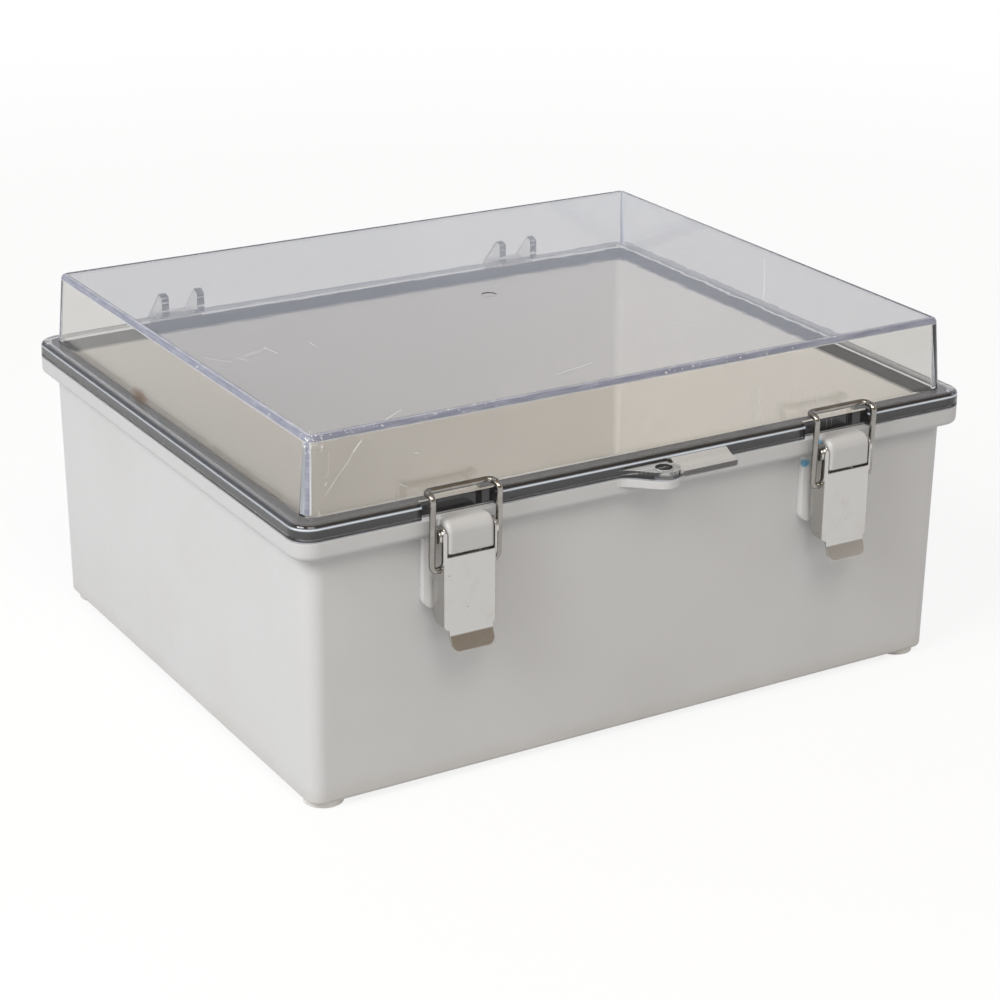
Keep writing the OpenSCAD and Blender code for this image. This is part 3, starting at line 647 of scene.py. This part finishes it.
def foam():
    f = Finish("gasket")
    cells = f.noise(*CELL_NOISE)
    tint = f.mix(f.fade(cells, *CELL_STEP), SEAL, SEAL_CELL)
    return f.end(f.body(Base_Color=tint, Roughness=f.fade(cells, *CELL_SHEEN),
                        Normal=f.bump(cells, CELL_DEPTH, strength=0.5)))


dress(foam(), "cover_gasket")

# %% [markdown]
# ## Steel and brass
# The levers are folded from stainless sheet with a fine grain along their length. The bails are
# bright drawn wire, and the pins and screws are turned. On metal the colour is what it mirrors, so
# the detail is in the roughness and in a very fine bump, stretched along the grain. Years of use
# have left dull patches and small dark scuffs.

# %% A metal finish
SCUFF, SCUFF_SHARE, DULL_SHARE = (0.10, 0.09, 0.08), 0.7, 0.5
DULL_PATCHES = (120.0, 4.0, 0.45, 0.75)
SCUFF_SPECKS, SCUFF_PATCHES = (800.0, 2.0, 0.68, 0.73), (60.0, 2.0, 0.46, 0.58)
GRAIN_NOISE = (1.0, 3.0, 0.6)
LINE_SPREAD, WORN_SPREAD, GLOSS_SHIFT = 0.04, 0.04, 0.03


def metal(name, colour, dull, gloss, grain, depth, edge=0.0003):
    f = Finish(name)
    lines = f.noise(*GRAIN_NOISE, f.stretched(grain))
    worn = f.patches(*DULL_PATCHES)
    scuffs = f.patches(*SCUFF_SPECKS) * f.patches(*SCUFF_PATCHES)
    tint = f.mix(scuffs * SCUFF_SHARE, f.mix(worn * DULL_SHARE, colour, dull), SCUFF)
    rough = lines * LINE_SPREAD + worn * WORN_SPREAD + (gloss - GLOSS_SHIFT)
    return f.end(f.body(Base_Color=tint, Metallic=1.0, Roughness=rough,
                        Normal=f.bump(lines, depth, strength=0.5, normal=f.soft_edge(edge))))


print("metal roughness spreads by", LINE_SPREAD + WORN_SPREAD)

# %% Levers, bails, pins, screws and inserts
SHEET, SHEET_DULL = (0.540, 0.530, 0.514), (0.500, 0.480, 0.450)
WIRE = (0.290, 0.275, 0.255)
PIN = (0.58, 0.57, 0.55)
BRASS, BRASS_DULL = (0.62, 0.43, 0.16), (0.40, 0.27, 0.10)
DRAWN_DEPTH, TURNED_DEPTH, LEVER_EDGE = 0.000005, 0.00003, 0.0006
ALONG_LEVER, ON_WIRE = (3000.0, 3000.0, 90.0), (900.0, 900.0, 900.0)
ROUND_PIN, ROUND_INSERT = (200.0, 2500.0, 2500.0), (2500.0, 2500.0, 200.0)

dress(metal("lever_steel", SHEET, SHEET_DULL, gloss=0.09, grain=ALONG_LEVER, depth=DRAWN_DEPTH,
            edge=LEVER_EDGE), *pair("latch_lever"))
dress(metal("wire_steel", WIRE, SHEET_DULL, gloss=0.07, grain=ON_WIRE, depth=DRAWN_DEPTH),
      *pair("latch_bail"))
dress(metal("pin_steel", PIN, SHEET_DULL, gloss=0.26, grain=ROUND_PIN, depth=TURNED_DEPTH),
      *pair("latch_pin"), *pair("latch_screws"), *pair("hinge_pin"))
dress(metal("brass", BRASS, BRASS_DULL, gloss=0.28, grain=ROUND_INSERT, depth=TURNED_DEPTH),
      "mount_inserts", "plate_inserts")

# %% [markdown]
# ## Floor
# A plain white floor carries the shadow. To the camera, and in what metal and plastic mirror, it
# glows almost white near the box and fully white further out, as a studio sweep does. If it also
# threw that light back, the underside and the lower walls would be too bright, so for diffuse rays
# it is a darker grey.

# %% Floor
FLOOR_SIZE = 12.0
FLOOR_WHITE, FLOOR_BOUNCE = (0.90, 0.90, 0.90), (0.55, 0.55, 0.55)
FLOOR_GLOW, FLOOR_FADE = 0.85, (0.4, 1.4)
SEEN_BY = ("Is Glossy Ray", "Is Transmission Ray")


def white_floor():
    f = Finish("floor")
    white, dim = (f.node("ShaderNodeBsdfDiffuse", None, {"Color": tone})
                  for tone in (FLOOR_WHITE, FLOOR_BOUNCE))
    paper = f.mix_shader(f.node("ShaderNodeLightPath", output="Is Diffuse Ray"), white, dim)
    glow = f.node("ShaderNodeEmission", None, {"Color": (1.0, 1.0, 1.0), "Strength": 1.0})
    seen = f.node("ShaderNodeLightPath", output="Is Camera Ray")
    for ray in SEEN_BY:
        seen = seen.math("MAXIMUM", seen, f.node("ShaderNodeLightPath", output=ray))
    share = seen * f.fade(f.length(f.place()), *FLOOR_FADE, FLOOR_GLOW, 1.0)
    return f.end(f.mix_shader(share, paper, glow))


bpy.ops.mesh.primitive_plane_add(size=FLOOR_SIZE)
floor = bpy.context.object
floor.name = "floor"
floor.data.materials.append(white_floor().material)
print("floor", FLOOR_SIZE, "m wide")

# %% [markdown]
# ## Surroundings
# What metal and clear plastic look like is mostly what they mirror: a white horizon all round, a
# pale backdrop behind the box, and a dim warm room above and in front. A photographed room would do
# as well. Here the world is built from the direction of each ray, so nothing is read from disk.

# %% World
HORIZON, HORIZON_TOP = (1.0, 1.0, 1.0), (0.19, 0.24)
BACKDROP, BACKDROP_TOP, BACKDROP_SIDE = (0.70, 0.73, 0.83), (0.65, 0.85), (-0.05, 0.25)
ROOM = (0.350, 0.290, 0.230)
AWAY_FROM_CAMERA = (0.51, 0.86, 0.0)

world = bpy.data.worlds.new("studio")
bpy.context.scene.world = world
world.use_nodes = True
sky = Finish("studio", world.node_tree)
direction = sky.node("ShaderNodeTexCoord", output="Generated")
height = sky.axis(2, direction)
low_down = sky.fade(height, *HORIZON_TOP, 1.0, 0.0)
behind = sky.fade(sky.vector("DOT_PRODUCT", direction, AWAY_FROM_CAMERA, "Value"), *BACKDROP_SIDE)
behind = behind * sky.fade(height, *BACKDROP_TOP, 1.0, 0.0)
tone = sky.mix(low_down, sky.mix(behind, ROOM, BACKDROP), HORIZON)
sky.end(sky.node("ShaderNodeBackground", None, {"Color": tone, "Strength": 1.0}), "World")
print("backdrop", BACKDROP, "room", ROOM)

# %% [markdown]
# ## Lights
# The photograph is lit most from the left. So a large soft lamp stands high on the left, a weaker
# warm one high in front and a little to the left fills the latched side, and a faint one above
# lights the inside through the cover. Disks of over a metre give soft shadows without a dome.

# %% Three soft lamps
middle = Vector([(a + b) / 2 for a, b in zip(*cad_box)])


def soft_lamp(name, place, size, watts, colour=(1.0, 1.0, 1.0)):
    data = bpy.data.lights.new(name, "AREA")
    data.shape, data.size = "DISK", size
    data.energy, data.color = watts, colour
    lamp = bpy.data.objects.new(name, data)
    lamp.location = place
    lamp.rotation_euler = (middle - lamp.location).to_track_quat("-Z", "Y").to_euler()
    bpy.context.scene.collection.objects.link(lamp)
    print(name, "at", place, watts, "W")


soft_lamp("lamp_left", (-1.6, -0.45, 1.35), size=1.1, watts=29.5)
soft_lamp("lamp_front", (-0.45, -1.6, 1.9), size=1.1, watts=13.5, colour=(1.0, 0.97, 0.92))
soft_lamp("lamp_above", (0.2, -0.4, 2.1), size=1.4, watts=2.0, colour=(1.0, 0.92, 0.82))

# %% [markdown]
# ## Camera
# The viewpoint was found by fitting a camera to the box's straight edges in the photograph. A
# Track To constraint could aim the camera, but it can't roll it. Heading, height and the small roll
# give the three axes of the camera directly.

# %% Camera at the photograph's viewpoint
CAMERA_PLACE = (-0.52119, -0.88177, 0.46059)
CAMERA_HEADING = math.radians(-30.879)
CAMERA_HEIGHT = math.radians(21.528)
CAMERA_ROLL = math.radians(0.427)
LENS_PIXELS = 2567.49
PHOTO_WIDTH = 1000
FILM_MM = 36.0
CLIP = (0.05, 50.0)

a, e = CAMERA_HEADING, CAMERA_HEIGHT
right = Vector((math.cos(a), math.sin(a), 0.0))
back = Vector((math.sin(a) * math.cos(e), -math.cos(a) * math.cos(e), math.sin(e)))
up = back.cross(right)
c, s = math.cos(CAMERA_ROLL), math.sin(CAMERA_ROLL)
turned = Matrix((c * right + s * up, c * up - s * right, back)).transposed()

view = bpy.data.cameras.new("camera")
view.sensor_fit, view.sensor_width = "HORIZONTAL", FILM_MM
view.lens = LENS_PIXELS * FILM_MM / PHOTO_WIDTH
view.clip_start, view.clip_end = CLIP
camera = bpy.data.objects.new("camera", view)
camera.matrix_world = Matrix.Translation(CAMERA_PLACE) @ turned.to_4x4()
bpy.context.scene.collection.objects.link(camera)
bpy.context.scene.camera = camera
bpy.context.scene.view_settings.view_transform = "Standard"
print("lens", round(view.lens, 2), "mm")

# %% [markdown]
